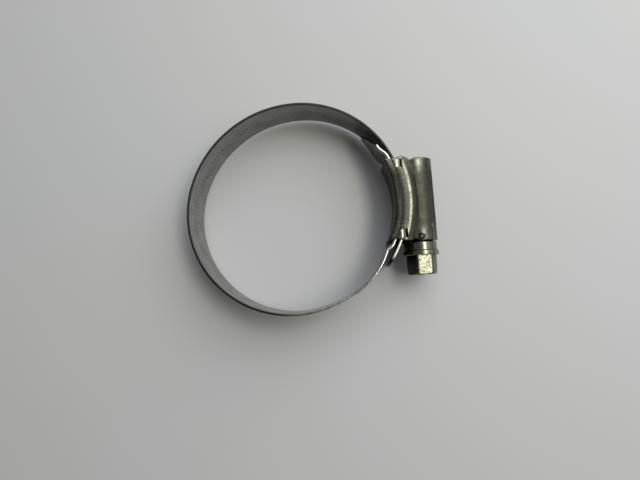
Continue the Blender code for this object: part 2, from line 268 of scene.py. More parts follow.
def rows_to_mesh(name, rows, material, cap_first=False, cap_last=False, uv_rows=None, sharp=30.0):
    """A mesh from rows of points, each row a closed ring, with optional flat ends."""
    ring = len(rows[0])
    verts = [p for row in rows for p in row]
    faces = []
    for r in range(len(rows) - 1):
        for i in range(ring):
            j = (i + 1) % ring
            faces.append((r * ring + i, r * ring + j, (r + 1) * ring + j, (r + 1) * ring + i))
    if cap_first:
        faces.append(tuple(reversed(range(ring))))
    if cap_last:
        last = (len(rows) - 1) * ring
        faces.append(tuple(last + i for i in range(ring)))
    mesh = bpy.data.meshes.new(name)
    mesh.from_pydata(verts, [], faces)
    if uv_rows is not None:
        layer = mesh.uv_layers.new(name="along_and_across")
        flat = [uv for row in uv_rows for uv in row]
        for loop in mesh.loops:
            layer.data[loop.index].uv = flat[loop.vertex_index]
    face_outward(mesh)
    mesh.materials.append(material)
    smooth(mesh, sharp)
    obj = bpy.data.objects.new(name, mesh)
    bpy.context.scene.collection.objects.link(obj)
    return obj


def carve(obj, cutter):
    """Cuts another mesh away for good."""
    change = obj.modifiers.new(cutter.name, "BOOLEAN")
    change.operation = "DIFFERENCE"
    change.solver = "EXACT"
    change.object = cutter
    bpy.context.view_layer.objects.active = obj
    bpy.ops.object.modifier_apply(modifier=change.name)
    bpy.data.objects.remove(cutter, do_unlink=True)


# ------------------------------------------------------------------ finishes

class Nodes:
    """Short calls for building one node tree."""

    def __init__(self, tree):
        self.tree = tree

    def add(self, kind, **values):
        node = self.tree.nodes.new(kind)
        for key, value in values.items():
            setattr(node, key, value)
        return node

    def link(self, source, target):
        self.tree.links.new(source, target)

    def math(self, operation, first, second=None):
        node = self.add("ShaderNodeMath", operation=operation)
        for socket, value in zip(node.inputs, (first, second)):
            self.feed(socket, value)
        return node.outputs[0]

    def feed(self, socket, value):
        if value is None:
            return
        if hasattr(value, "is_linked"):
            self.link(value, socket)
        else:
            socket.default_value = value

    def mix(self, factor, first, second):
        node = self.add("ShaderNodeMix", data_type="RGBA")
        self.feed(node.inputs[0], factor)
        self.feed(node.inputs[6], first)
        self.feed(node.inputs[7], second)
        return node.outputs[2]

    def ranged(self, value, low, high, to_low=0.0, to_high=1.0, smooth=True):
        node = self.add("ShaderNodeMapRange",
                        interpolation_type="SMOOTHSTEP" if smooth else "LINEAR")
        for socket, given in zip(node.inputs, (value, low, high, to_low, to_high)):
            self.feed(socket, given)
        return node.outputs[0]

    def product(self, first, *others):
        for other in others:
            first = self.math("MULTIPLY", first, other)
        return first

    def distance(self, x, y, centre_x, centre_y):
        off_x = self.math("POWER", self.math("SUBTRACT", x, centre_x), 2.0)
        off_y = self.math("POWER", self.math("SUBTRACT", y, centre_y), 2.0)
        return self.math("SQRT", self.math("ADD", off_x, off_y))

    def noise(self, vector, scale, detail, rough, distortion=0.0):
        node = self.add("ShaderNodeTexNoise")
        self.link(vector, node.inputs["Vector"])
        node.inputs["Scale"].default_value = scale
        node.inputs["Detail"].default_value = detail
        node.inputs["Roughness"].default_value = rough
        node.inputs["Distortion"].default_value = distortion
        return node.outputs["Fac"]

    def stretched(self, vector, scale, turn=(0.0, 0.0, 0.0)):
        node = self.add("ShaderNodeMapping")
        self.link(vector, node.inputs["Vector"])
        node.inputs["Scale"].default_value = scale
        node.inputs["Rotation"].default_value = [math.radians(a) for a in turn]
        return node.outputs["Vector"]


def new_group(name, *masks):
    """A node group that takes a place on the surface and gives these masks."""
    group = bpy.data.node_groups.new(name, "ShaderNodeTree")
    group.interface.new_socket(name="Vector", in_out="INPUT", socket_type="NodeSocketVector")
    for mask in masks:
        group.interface.new_socket(name=mask, in_out="OUTPUT", socket_type="NodeSocketFloat")
    n = Nodes(group)
    vector = n.add("NodeGroupInput").outputs["Vector"]
    return group, n, vector, n.add("NodeGroupOutput").inputs


def rolled_grain_group():
    """Fine lines left by the rolls or by drawing, running along the vector's first axis."""
    group, n, vector, out = new_group("rolled_grain", "Lines", "Streaks")
    fine = n.noise(n.stretched(vector, (160.0, 5200.0, 5200.0)), 1.0, 4.0, 0.6)
    broad = n.noise(n.stretched(vector, (60.0, 1100.0, 1100.0)), 1.0, 2.0, 0.5)
    n.link(n.ranged(fine, 0.30, 0.70), out["Lines"])
    n.link(n.ranged(broad, 0.35, 0.65), out["Streaks"])
    return group


def handling_group():
    """Oily film in soft patches, small dark specks and thin scratches in any direction."""
    group, n, vector, out = new_group("handling_marks", "Film", "Specks", "Scratches")
    film = n.noise(vector, 210.0, 5.0, 0.62, 0.6)
    n.link(n.ranged(film, 0.36, 0.68), out["Film"])
    specks = n.noise(vector, 2600.0, 2.0, 0.5)
    patch = n.noise(vector, 420.0, 2.0, 0.5)
    n.link(n.product(n.ranged(specks, 0.60, 0.70), n.ranged(patch, 0.45, 0.62)), out["Specks"])
    marks = None
    for turn in (17.0, 78.0, 136.0):
        lines = n.noise(n.stretched(vector, (90.0, 3600.0, 900.0), (0.0, 0.0, turn)), 1.0, 1.0, 0.4)
        thin = n.ranged(lines, 0.70, 0.76)
        marks = thin if marks is None else n.math("MAXIMUM", marks, thin)
    n.link(marks, out["Scratches"])
    return group


def edge_group():
    """Where the surface turns sharply outward, and where it folds in, darkened there as dirt and painted
    shade.
    """
    group, n, vector, out = new_group("edges_and_folds", "Rubbed", "Dirt and shade")
    turned = n.add("ShaderNodeNewGeometry").outputs["Pointiness"]
    broken = n.noise(vector, 900.0, 3.0, 0.6)
    uneven = n.math("ADD", turned, n.product(broken, 0.03))
    n.link(n.ranged(uneven, 0.535, 0.575), out["Rubbed"])
    n.link(n.ranged(uneven, 0.505, 0.470), out["Dirt and shade"])
    return group


def thread_group():
    """Masks for the band, from the distance along it and across it."""
    group, n, vector, out = new_group(
        "pressed_thread", "Groove", "Rim", "Rim glint", "Grease and shade", "Lower left shade")
    parts = n.add("ShaderNodeSeparateXYZ")
    n.link(vector, parts.inputs[0])
    along, across = parts.outputs[0], parts.outputs[1]

    # Inside, each groove shows as two thin lines, one for either wall.
    shifted = n.math("SUBTRACT", along, n.product(across, THREAD_LEAN))
    wave = n.math("COSINE", n.product(shifted, 2.0 * TURN / THREAD_PITCH))
    middle = n.math("ABSOLUTE", n.math("SUBTRACT", across, GHOST_MIDDLE))
    end = thread_far_end()
    reached = n.ranged(along, end, end - GHOST_FADE * THREAD_PITCH)
    n.link(n.product(n.ranged(wave, 0.0, 0.9), n.ranged(middle, *GHOST_HALF), reached), out["Groove"])

    # The slit rims: dark with film, but painted with a bright glint at the tail and towards the fixed
    # end.
    rim = n.ranged(n.math("ABSOLUTE", across), BAND_HALF - 1.6 * BAND_EDGE, BAND_HALF - 0.9 * BAND_EDGE)
    loop_end = LOOP_START_ALONG + LOOP_LENGTH
    glint_near_loop_end = n.ranged(along, loop_end - RIM_GLINT_LOOP_END[0], loop_end - RIM_GLINT_LOOP_END[1])
    n.link(n.product(rim, n.math("SUBTRACT", 1.0, glint_near_loop_end)), out["Rim"])
    glinting = n.math("MAXIMUM", glint_near_loop_end, n.ranged(along, *RIM_GLINT_TAIL))
    n.link(n.product(rim, glinting), out["Rim glint"])

    # Grease with painted shade as far as its end, and painted shade round part of the loop, heavier
    # towards +Z.
    greasy_and_shaded = n.ranged(along, GREASE_AND_SHADE_END + GREASE_AND_SHADE_FADE, GREASE_AND_SHADE_END - GREASE_AND_SHADE_FADE)
    n.link(greasy_and_shaded, out["Grease and shade"])
    lower_left_shade = n.product(n.ranged(along, LOWER_LEFT_SHADE[0], LOWER_LEFT_SHADE[1]), n.ranged(along, LOWER_LEFT_SHADE[3], LOWER_LEFT_SHADE[2]))
    n.link(n.product(lower_left_shade, n.ranged(across, -BAND_HALF, BAND_HALF, 0.5, 1.0)), out["Lower left shade"])
    return group


def housing_wear_and_light_group():
    """Where the housing is rubbed, where it is darker, a painted highlight along its bead, and the pits
    along its barrel, with painted shade beside them and round the pip.
    """
    group, n, vector, out = new_group(
        "housing_wear_and_light", "Ends", "Saddle", "Barrel", "Pits and shade", "Bead highlight", "Web", "Streaks")
    parts = n.add("ShaderNodeSeparateXYZ")
    n.link(vector, parts.inputs[0])
    x, y = parts.outputs[0], parts.outputs[1]
    from_middle = n.math("ABSOLUTE", y)
    radius = n.distance(x, y, CHANNEL.x, CHANNEL.y)

    broken = n.ranged(n.noise(vector, 700.0, 3.0, 0.6), 0.30, 0.62)
    ends = n.ranged(from_middle, HOUSING_HALF_LENGTH - 4.5 * MM, HOUSING_HALF_LENGTH - 0.8 * MM)
    n.link(n.product(ends, broken), out["Ends"])
    # Darker along the saddle's inner edge.
    n.link(n.ranged(radius, SADDLE_INNER + 0.30 * MM, SADDLE_INNER + 0.1 * MM), out["Saddle"])
    barrel = n.ranged(x, SCREW_X - 1.2 * MM, SCREW_X - 0.6 * MM)
    n.link(n.product(barrel, n.ranged(from_middle, 8.5 * MM, 6.0 * MM)), out["Barrel"])

    # A painted highlight along the bead's crest, broken up unevenly.
    lively = n.ranged(n.noise(vector, 1300.0, 3.0, 0.6), 0.32, 0.60, 0.35, 1.0)
    lit = n.ranged(radius, SHOULDER - 1.3 * MM, SHOULDER - 0.9 * MM)
    ended = n.ranged(radius, SHOULDER - 0.2 * MM, SHOULDER - 0.5 * MM)
    n.link(n.product(lit, ended, lively), out["Bead highlight"])
    past_bead = n.ranged(radius, SHOULDER - 0.3 * MM, SHOULDER - 0.1 * MM)
    before_barrel = n.ranged(x, VALLEY_MIDDLE - 0.1 * MM, VALLEY_MIDDLE - 0.4 * MM)
    n.link(n.product(past_bead, before_barrel), out["Web"])

    # Dark streaks that follow the flank's arc, from the saddle to the crease, with painted shade over
    # that part of the flank.
    polar = n.add("ShaderNodeCombineXYZ")
    n.link(n.product(radius, 2400.0), polar.inputs[0])
    n.link(n.product(y, 120.0), polar.inputs[1])
    streaks = n.ranged(n.noise(polar.outputs[0], 1.0, 3.0, 0.6), 0.38, 0.62)
    flank = n.ranged(radius, CREASE + 0.3 * MM, CREASE - 0.1 * MM)
    n.link(n.product(flank, streaks), out["Streaks"])

    # Pits, painted shade in a strip along the barrel's side away from the loop, and painted shade on the
    # pip's wall round its middle.
    pits = n.ranged(n.noise(vector, 1900.0, 2.0, 0.5), 0.50, 0.60)
    strip = n.ranged(x, SCREW_X + 3.5 * MM, SCREW_X + 3.9 * MM, 0.0, 0.85)
    side = n.ranged(x, SCREW_X + 3.3 * MM, SCREW_X + 3.9 * MM)
    pits_and_side_shade = n.product(n.math("MAXIMUM", pits, strip), side)
    from_pip = n.distance(x, y, SCREW_X, PIP_Y)
    ring = n.product(n.ranged(from_pip, 1.35 * PIP_RADIUS, 1.1 * PIP_RADIUS),
                     n.ranged(from_pip, 0.30 * PIP_RADIUS, 0.45 * PIP_RADIUS))
    n.link(n.math("MAXIMUM", pits_and_side_shade, ring), out["Pits and shade"])
    return group


def screw_face_highlight_group():
    """A painted highlight on the hex's face that turns up towards +Z, with dark flecks in that face."""
    group, n, vector, out = new_group("screw_face_highlight", "Face highlight", "Flecks")
    parts = n.add("ShaderNodeSeparateXYZ")
    n.link(vector, parts.inputs[0])
    x, y, z = parts.outputs
    on_hex = n.ranged(y, HEX_START + 0.1 * MM, HEX_START - 0.1 * MM)
    turn = math.radians(HEX_TURN)
    sideways = n.product(n.math("SUBTRACT", x, SCREW_X), math.sin(turn))
    facing = n.math("ADD", sideways, n.product(z, math.cos(turn)))
    face = n.ranged(facing, HEX_FLATS / 2 - 0.12 * MM, HEX_FLATS / 2 - 0.04 * MM)
    face_highlight = n.product(on_hex, face)
    flecks = n.ranged(n.noise(vector, 1300.0, 4.0, 0.7), 0.50, 0.62)
    n.link(face_highlight, out["Face highlight"])
    n.link(n.product(face_highlight, flecks), out["Flecks"])
    return group


def place(n, group, vector):
    node = n.add("ShaderNodeGroup")
    node.node_tree = GROUPS[group]
    n.link(vector, node.inputs["Vector"])
    return node.outputs


def steel(name, colours, rough, rub, shine, wear_and_light_of, coords="Object"):
    """Bare steel with rolled grain, an oily film, specks, scratches and the piece's own worn marks and
    painted light.

    rub is how strongly edges are rubbed bright and shine is how much brighter that is.
    The last argument names the group with the piece's own worn marks and painted light."""
    colour, film_colour, dirt_and_shade_colour = colours
    material = bpy.data.materials.new(name)
    material.use_nodes = True
    n = Nodes(material.node_tree)
    shader = material.node_tree.nodes["Principled BSDF"]
    vector = n.add("ShaderNodeTexCoord").outputs[coords]
    lines = place(n, "grain", vector)
    marks = place(n, "marks", vector)
    edges = place(n, "edges", vector)
    wear_and_light = place(n, wear_and_light_of, vector)
    streaked = tuple(0.80 * c for c in colour[:3]) + (1.0,)
    bright = tuple(min(1.0, shine * c) for c in colour[:3]) + (1.0,)

    # Each step: how much of a mask, towards which colour.
    steps = [
        (lines["Streaks"], 0.5, streaked),
        (marks["Film"], 0.5, film_colour),
        (marks["Specks"], 0.6, dirt_and_shade_colour),
        # dirt and painted shade where the surface folds in
        (edges["Dirt and shade"], 0.75, dirt_and_shade_colour),
        (edges["Rubbed"], rub, bright),
        (marks["Scratches"], 0.35, bright),
    ]
    # Each change: a mask, and how much rougher it makes the surface.
    changes = [(marks["Film"], 0.10), (edges["Rubbed"], -0.08)]
    if wear_and_light_of == "housing":
        steps += [
            # dark streaks, with painted shade on the flank between saddle and crease
            (wear_and_light["Streaks"], 0.7, dirt_and_shade_colour),
            # painted highlight along the bead
            (wear_and_light["Bead highlight"], 0.8, bright),
            (wear_and_light["Web"], 0.65, bright),
            (wear_and_light["Ends"], 0.7, bright),
            # darker along the saddle's inner edge
            (wear_and_light["Saddle"], 0.6, dirt_and_shade_colour),
            # pits, with painted shade along the barrel's outer side and on the pip's wall
            (wear_and_light["Pits and shade"], 0.9, dirt_and_shade_colour),
        ]
        changes += [(wear_and_light["Barrel"], 0.19), (wear_and_light["Ends"], -0.10)]
    elif wear_and_light_of == "screw":
        # painted highlight on the hex's upturned face, with dark flecks
        steps += [(wear_and_light["Face highlight"], 0.72, bright), (wear_and_light["Flecks"], 0.75, dirt_and_shade_colour)]
    elif wear_and_light_of == "thread":
        steps += [
            # painted shade round the lower left part of the loop
            (wear_and_light["Lower left shade"], 0.30, dirt_and_shade_colour),
            (wear_and_light["Rim"], 0.9, RIM_COLOUR),
            # grease and painted shade from the tail up past the tongue
            (wear_and_light["Grease and shade"], 0.93, dirt_and_shade_colour),
            # painted glint on the rims
            (wear_and_light["Rim glint"], 0.9, RIM_GLINT_COLOUR),
            (n.product(wear_and_light["Groove"], marks["Film"]), 0.5, dirt_and_shade_colour),
        ]
        changes += [(wear_and_light["Rim"], 0.14), (wear_and_light["Groove"], 0.08)]

    base = colour
    for mask, share, toward in steps:
        base = n.mix(n.product(mask, share), base, toward)
    roughness = n.ranged(lines["Lines"], 0.0, 1.0, rough - 0.05, rough + 0.07, smooth=False)
    for mask, rougher in changes:
        roughness = n.math("ADD", roughness, n.product(mask, rougher))
    height = n.product(lines["Lines"], 0.15)
    for mask, depth in ((marks["Scratches"], 0.5), (marks["Specks"], 0.3)):
        height = n.math("SUBTRACT", height, n.product(mask, depth))
    bump = n.add("ShaderNodeBump")
    bump.inputs["Strength"].default_value = 0.35
    bump.inputs["Distance"].default_value = 0.03 * MM
    n.link(height, bump.inputs["Height"])
    n.link(bump.outputs["Normal"], shader.inputs["Normal"])
    n.link(base, shader.inputs["Base Color"])
    n.link(roughness, shader.inputs["Roughness"])
    shader.inputs["Metallic"].default_value = 1.0
    return material


# ------------------------------------------------------------------ band

def channel_point(radius, degrees):
    return CHANNEL + radius * direction(degrees)


def loop_station(distance):
    """Middle of the band and its outward angle, this far round the loop's free part."""
    point = channel_point(THREADED_MID, THREADED_START)
    outward = THREADED_START
    left = distance
    for radius, sweep in LOOP_ARCS:
        length = radius * math.radians(sweep)
        step = min(left, length)
        centre = point - radius * direction(outward)
        outward += math.degrees(step / radius)
        point = centre + radius * direction(outward)
        left -= step
        if left <= 0.0:
            break
    return point, outward


LOOP_LENGTH = sum(radius * math.radians(sweep) for radius, sweep in LOOP_ARCS)
LINK_LENGTH = LOOP_LENGTH / LINK_COUNT
LOOP_START_ALONG = THREADED_MID * math.radians(THREADED_START)
THREAD_LEAN = THREAD_PITCH / (TURN * (CREST_RADIUS + ROOT_RADIUS) / 2)


def thread_far_end():
    return LOOP_START_ALONG + THREADED_LINKS * LINK_LENGTH


def thread_wave(along, z):
    wave = math.cos(TURN * (along - z * THREAD_LEAN) / THREAD_PITCH)
    across = 1.0 - smoothstep(THREAD_FLAT_HALF, THREAD_END_HALF, abs(z))
    far = thread_far_end()
    return smoothstep(*THREAD_WALL, wave) * across * (1.0 - smoothstep(far - THREAD_RUN_OUT, far, along))


def squared(value):
    """Fills out a circle's sine or cosine, for the slit edge's blunter rounding."""
    return math.copysign(abs(value) ** EDGE_POWER, value)


def band_ring(middle, outward, along, half, threaded):
    """Points and (along, across) round the band's section, its slit edges rounded over."""
    normal = direction(outward)
    flat = half - BAND_EDGE
    points, places = [], []

    def put(offset, z):
        points.append(middle + offset * normal + Vector((0.0, 0.0, z)))
        places.append((along, z))

    across = [flat * (2.0 * i / (BAND_COLUMNS - 1) - 1.0) for i in range(BAND_COLUMNS)]
    for z in across:
        put(BAND_THICKNESS / 2 - (THREAD_DEPTH * thread_wave(along, z) if threaded else 0.0), z)
    for degrees in EDGE_ANGLES:
        a = math.radians(degrees)
        put(BAND_THICKNESS / 2 * squared(math.sin(a)), flat + BAND_EDGE * squared(math.cos(a)))
    for z in reversed(across):
        put(-BAND_THICKNESS / 2 - (THREAD_GHOST * thread_wave(along, z) if threaded else 0.0), z)
    for degrees in reversed(EDGE_ANGLES):
        a = math.radians(degrees)
        put(BAND_THICKNESS / 2 * squared(math.sin(a)), -flat - BAND_EDGE * squared(math.cos(a)))
    return points, places


def band_piece(name, stations, material, cap_last=False):
    rings = [band_ring(*station) for station in stations]
    return rows_to_mesh(name, [r[0] for r in rings], material, cap_last=cap_last,
                        uv_rows=[r[1] for r in rings], sharp=BAND_SHARP)


def loop_stations(near, far):
    middle_along = LOOP_START_ALONG + (near + far) / 2
    threaded = middle_along < thread_far_end() + LINK_LENGTH
    step = THREAD_STEP if threaded else PLAIN_STEP
    stations = []
    for distance in spread(near, far, step):
        middle, outward = loop_station(distance)
        along = LOOP_START_ALONG + distance
        stations.append((middle, outward, along, BAND_HALF, threaded))
    return stations


def turned_outward(radius_at, angle):
    """Outward angle of a strip whose radius about the channel's centre changes with angle."""
    tiny = 0.01
    slope = (radius_at(angle + tiny) - radius_at(angle - tiny)) / math.radians(2 * tiny)
    return angle - math.degrees(math.atan2(slope, radius_at(angle)))


def threaded_radius(angle):
    return THREADED_MID + TAIL_LIFT * smoothstep(-LIFT_START, -LIFT_END, -angle)


def fixed_radius(angle):
    lean = max(0.0, (JOGGLE_FOOT - angle) / (JOGGLE_FOOT - FIXED_START))
    rise = smoothstep(JOGGLE_FOOT, JOGGLE_TOP, angle)
    fall = smoothstep(TONGUE_TOP, TONGUE_FOOT, angle)
    knee = KNEE_MID + (LOOP_END_MID - KNEE_MID) * lean
    return knee + (FIXED_MID - KNEE_MID) * rise - TONGUE_DROP * fall


def fixed_stations():
    """Joggle, channel and tongue of the fixed end, from the loop's end to the tongue's tip."""
    stations = []
    for angle in spread(FIXED_START, TONGUE_TIP, FIXED_STEP):
        outward = turned_outward(fixed_radius, angle)
        taper = max(0.0, (angle - TONGUE_TAPER) / (TONGUE_TIP - TONGUE_TAPER))
        half = BAND_HALF + (TONGUE_TIP_HALF - BAND_HALF) * taper
        along = LOOP_START_ALONG + LOOP_LENGTH + LOOP_END_MID * math.radians(angle - FIXED_START)
        stations.append((channel_point(fixed_radius(angle), angle), outward, along, half, False))
    return stations


def threaded_stations():
    """From the start of the free loop down through the channel to the tip of the tail."""
    stations = []
    for angle in reversed(spread(TAIL_TIP, THREADED_START, math.degrees(THREAD_STEP / THREADED_MID))):
        from_tip = THREADED_MID * math.radians(angle - TAIL_TIP)
        inset = max(0.0, TAIL_CORNER - from_tip)
        half = BAND_HALF - TAIL_CORNER + math.sqrt(TAIL_CORNER ** 2 - inset ** 2)
        along = THREADED_MID * math.radians(angle)
        outward = turned_outward(threaded_radius, angle)
        stations.append((channel_point(threaded_radius(angle), angle), outward, along, half, True))
    return stations


def build_band(material):
    """The strip in lengths from mid-link to mid-link, one hinge in each."""
    def middle_of(link):
        return LOOP_LENGTH - (link - 0.5) * LINK_LENGTH

    def centre_of(link):
        return loop_station(middle_of(link))[0]

    first = loop_stations(middle_of(1), LOOP_LENGTH)
    piece = band_piece("band_fixed_stretch", first[:-1] + fixed_stations(), material, cap_last=True)
    hinge = loop_station(LOOP_LENGTH)[0]
    before = hinge + (hinge - centre_of(1)) * FIXED_REACH
    centre_of(1)
    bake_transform(piece)
    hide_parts("band_fixed_end")

    for link in range(1, LINK_COUNT):
        stations = loop_stations(middle_of(link + 1), middle_of(link))
        piece = band_piece(f"band_stretch_{link}", stations, material)
        centre_of(link)
        centre_of(link + 1)
        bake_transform(piece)
        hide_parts(f"band_link_{link}")

    last = list(reversed(loop_stations(0.0, middle_of(LINK_COUNT))))
    piece = band_piece("band_threaded_stretch", last[:-1] + threaded_stations(), material,
                       cap_last=True)
    hinge = loop_station(0.0)[0]
    after = hinge + (hinge - centre_of(LINK_COUNT)) * THREADED_REACH
    centre_of(LINK_COUNT)
    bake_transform(piece)
    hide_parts(f"band_link_{LINK_COUNT}", "band_threaded_end")


# ------------------------------------------------------------------ housing

def channel_x(radius, y):
    return CHANNEL.x + math.sqrt(radius ** 2 - (y - CHANNEL.y) ** 2)


def corner(centre_x, centre_z, radius, first, last, steps):
    """Points round a corner; angles run from +Z towards +X."""
    points = []
    for i in range(steps + 1):
        a = math.radians(first + (last - first) * i / steps)
        points.append((centre_x + radius * math.sin(a), centre_z + radius * math.cos(a)))
    return points


def valley_x(y):
    return VALLEY_MIDDLE - VALLEY_BOW * (channel_x(SHOULDER, CHANNEL.y) - channel_x(SHOULDER, y))


def drawn_back(x, along):
    """The sheet's ends stop a little short in the valley and towards the saddle."""
    valley = math.exp(-((x - valley_x(along)) / VALLEY_SPREAD) ** 2)
    saddle = 1.0 - smoothstep(SADDLE_INNER + SADDLE_SPREAD[0], SADDLE_INNER + SADDLE_SPREAD[1], x)
    end = HOUSING_HALF_LENGTH
    return END_DRAW * max(valley, saddle) * smoothstep(end - DRAW_REACH, end, along)


def housing_outline(y, inset):
    """The housing's closed outline at y; inset WALL gives its inside."""
    saddle = channel_x(SADDLE_INNER + inset, y)
    shoulder = channel_x(SHOULDER, y) - inset
    flank = FLANK_HALF - inset
    low = max(SADDLE_CORNER - inset, 0.1 * MM)
    high = max(SHOULDER_RADIUS - inset, 0.2 * MM)
    meet = math.degrees(math.asin((SCREW_X - valley_x(y)) / BARREL_RADIUS))
    meet += INSIDE_TURN * min(1.0, inset / WALL)
    half = [(saddle, flank * t) for t in (0.0, 0.3, 0.6)]
    half += corner(saddle + low, flank - low, low, -90.0, 0.0, 6)

    # The flank with its crease, then a plain stretch that leans over a little.
    left, right = saddle + low, shoulder - high
    crease = min(channel_x(CREASE, y), right - CREASE_TO_SHOULDER)
    half += [(left + (crease - left) * t, flank) for t in (0.35, 0.7)]
    half += [(crease - CREASE_LIPS[0], flank), (crease, flank - CREASE_DEPTH),
             (crease + CREASE_LIPS[1], flank - CREASE_LIP_DROP)]
    near, far = crease + PLAIN_MARGINS[0], right - PLAIN_MARGINS[1]
    lean = math.radians(SHOULDER_FALL)
    for t in (0.0, 0.5, 0.9):
        half.append((near + (far - near) * t, flank - (far - near) * t * math.tan(lean)))

    # The bead: a long arc from the flank's lean, then a tight one down to the web.
    wide = BEAD_RADIUS
    start_x, start_z = far, flank - (far - near) * math.tan(lean)
    half += corner(start_x - wide * math.sin(lean), start_z - wide * math.cos(lean), wide,
                   SHOULDER_FALL, BEAD_TURN, 5)
    turn = math.radians(BEAD_TURN)
    last_x, last_z = half[-1]
    half += corner(last_x - high * math.sin(turn), last_z - high * math.cos(turn), high,
                   BEAD_TURN, WEB_TURN, 8)[1:]

    # The web, straight to the barrel, and the barrel.
    start_x, start_z = half[-1]
    barrel = corner(SCREW_X, 0.0, BARREL_RADIUS - inset, -meet, 90.0, BARREL_STEPS)
    end_x, end_z = barrel[0]
    for t in (0.25, 0.5, 0.75):
        half.append((start_x + (end_x - start_x) * t, start_z + (end_z - start_z) * t))
    half += barrel
    mirrored = [(x, -z) for x, z in reversed(half[1:-1])]
    return [Vector((x, y - math.copysign(drawn_back(x, abs(y)), y), z)) for x, z in half + mirrored]


def prism(name, corners, low, high, material):
    """A block from (x, z) corners, drawn along Y."""
    rows = [[Vector((x, y, z)) for x, z in corners] for y in (low, high)]
    return rows_to_mesh(name, rows, material, True, True)


def build_housing(material):
    """The folded sheet, drawn as one loop of outlines: along inside, round the end, back outside."""
    end = HOUSING_HALF_LENGTH
    inner = [(y, WALL) for y in spread(-end + LIP, end - LIP, HOUSING_STEP)]
    outer = [(y, 0.0) for y in reversed(spread(-end + LIP, end - LIP, HOUSING_STEP))]
    rounding = []
    for degrees in (30.0, 60.0, 90.0):
        a = math.radians(degrees)
        rounding.append((LIP * (1 - math.cos(a)), LIP * math.sin(a)))
    far_in = [(end - LIP + out, WALL - shrink) for shrink, out in rounding]
    far_out = [(end - LIP + out, shrink) for shrink, out in reversed(rounding)]
    near_out = [(-end + LIP - out, shrink) for shrink, out in rounding]
    near_in = [(-end + LIP - out, WALL - shrink) for shrink, out in reversed(rounding)]
    loop = inner + far_in + far_out + outer + near_out + near_in
    rows = [housing_outline(y, inset) for y, inset in loop]
    housing = rows_to_mesh("housing_shell", rows + rows[:1], material)
    face_outward(housing.data, merge=1e-7)

    half_x, half_y = WINDOW_SIZE[0] / 2, WINDOW_SIZE[1] / 2
    for side in (1, -1):
        for at in (1, -1):
            low_x, high_x = WINDOW_X - half_x, WINDOW_X + half_x
            above = side * (FLANK_HALF + WINDOW_CUT[0])
            under = side * (FLANK_HALF - WALL - WINDOW_CUT[1])
            corners = [(low_x, under), (high_x, under), (high_x, above), (low_x, above)]
            cutter = prism("window", corners, at * WINDOW_Y - half_y, at * WINDOW_Y + half_y, material)
            carve(housing, cutter)
    smooth(housing.data, HOUSING_SHARP)
    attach(housing, "clip_base")
    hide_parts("housing")
    build_window_tabs(material)
    build_pips(material)


def build_window_tabs(material):
    """Tongues lanced out of the windows and bent in, still held on the loop's side."""
    half_x, half_y = WINDOW_SIZE[0] / 2, WINDOW_SIZE[1] / 2
    hinge_x = WINDOW_X - half_x - TAB_ROOT
    for side, side_name in ((1, "upper"), (-1, "lower")):
        for at, at_name in ((1, "far"), (-1, "near")):
            top, under = [], []
            for degrees in spread(0.0, TAB_BEND, TAB_STEP):
                a = math.radians(degrees)
                for points, radius in ((top, TAB_RADIUS), (under, TAB_RADIUS - TAB_THICKNESS)):
                    drop = TAB_RADIUS - radius * math.cos(a) + TAB_BELOW
                    points.append((hinge_x + radius * math.sin(a), side * (FLANK_HALF - drop)))
            reach = half_y - TAB_GAP
            tab = prism(f"housing_tab_{side_name}_{at_name}", top + list(reversed(under)),
                        at * WINDOW_Y - reach, at * WINDOW_Y + reach, material)
            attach(tab, "clip_base")


def build_pips(material):
    """Round pips pressed into the barrel so that it holds the screw by its neck."""
    for side, name in ((1, "upper"), (-1, "lower")):
        rows = []
        for share, lift in PIP_PROFILE:
            radius = PIP_RADIUS * share
            ring = []
            for i in range(PIP_POINTS):
                a = TURN * i / PIP_POINTS
                x, y = radius * math.cos(a), radius * math.sin(a)
                z = math.sqrt(BARREL_RADIUS ** 2 - x ** 2) + lift
                ring.append(Vector((SCREW_X + x, PIP_Y + y, side * z)))
            rows.append(ring)
        pip = rows_to_mesh(f"screw_pip_{name}", rows, material, cap_last=True, sharp=PIP_SHARP)
        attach(pip, "clip_base")


# ------------------------------------------------------------------ screw

def worm_radius(y, angle):
    turn = (y / THREAD_PITCH - (angle + 90.0) / 360.0) % 1.0
    offset = min(turn, 1.0 - turn)
    height = 1.0 - smoothstep(CREST_SHARE, FLANK_SHARE, offset)
    fade = smoothstep(WORM_START, WORM_START + WORM_FADE, y)
    fade *= 1.0 - smoothstep(WORM_END - WORM_FADE, WORM_END, y)
    return ROOT_RADIUS + (CREST_RADIUS - ROOT_RADIUS) * height * fade


def hex_radius(angle):
    nearest = (angle - HEX_TURN + 30.0) % 60.0 - 30.0
    sharp = HEX_FLATS / 2 / math.cos(math.radians(nearest))
    corner_radius = HEX_FLATS / math.sqrt(3.0)
    limit = corner_radius - HEX_EDGE
    return min(sharp, limit + HEX_EDGE_KEPT * (sharp - limit)) if sharp > limit else sharp


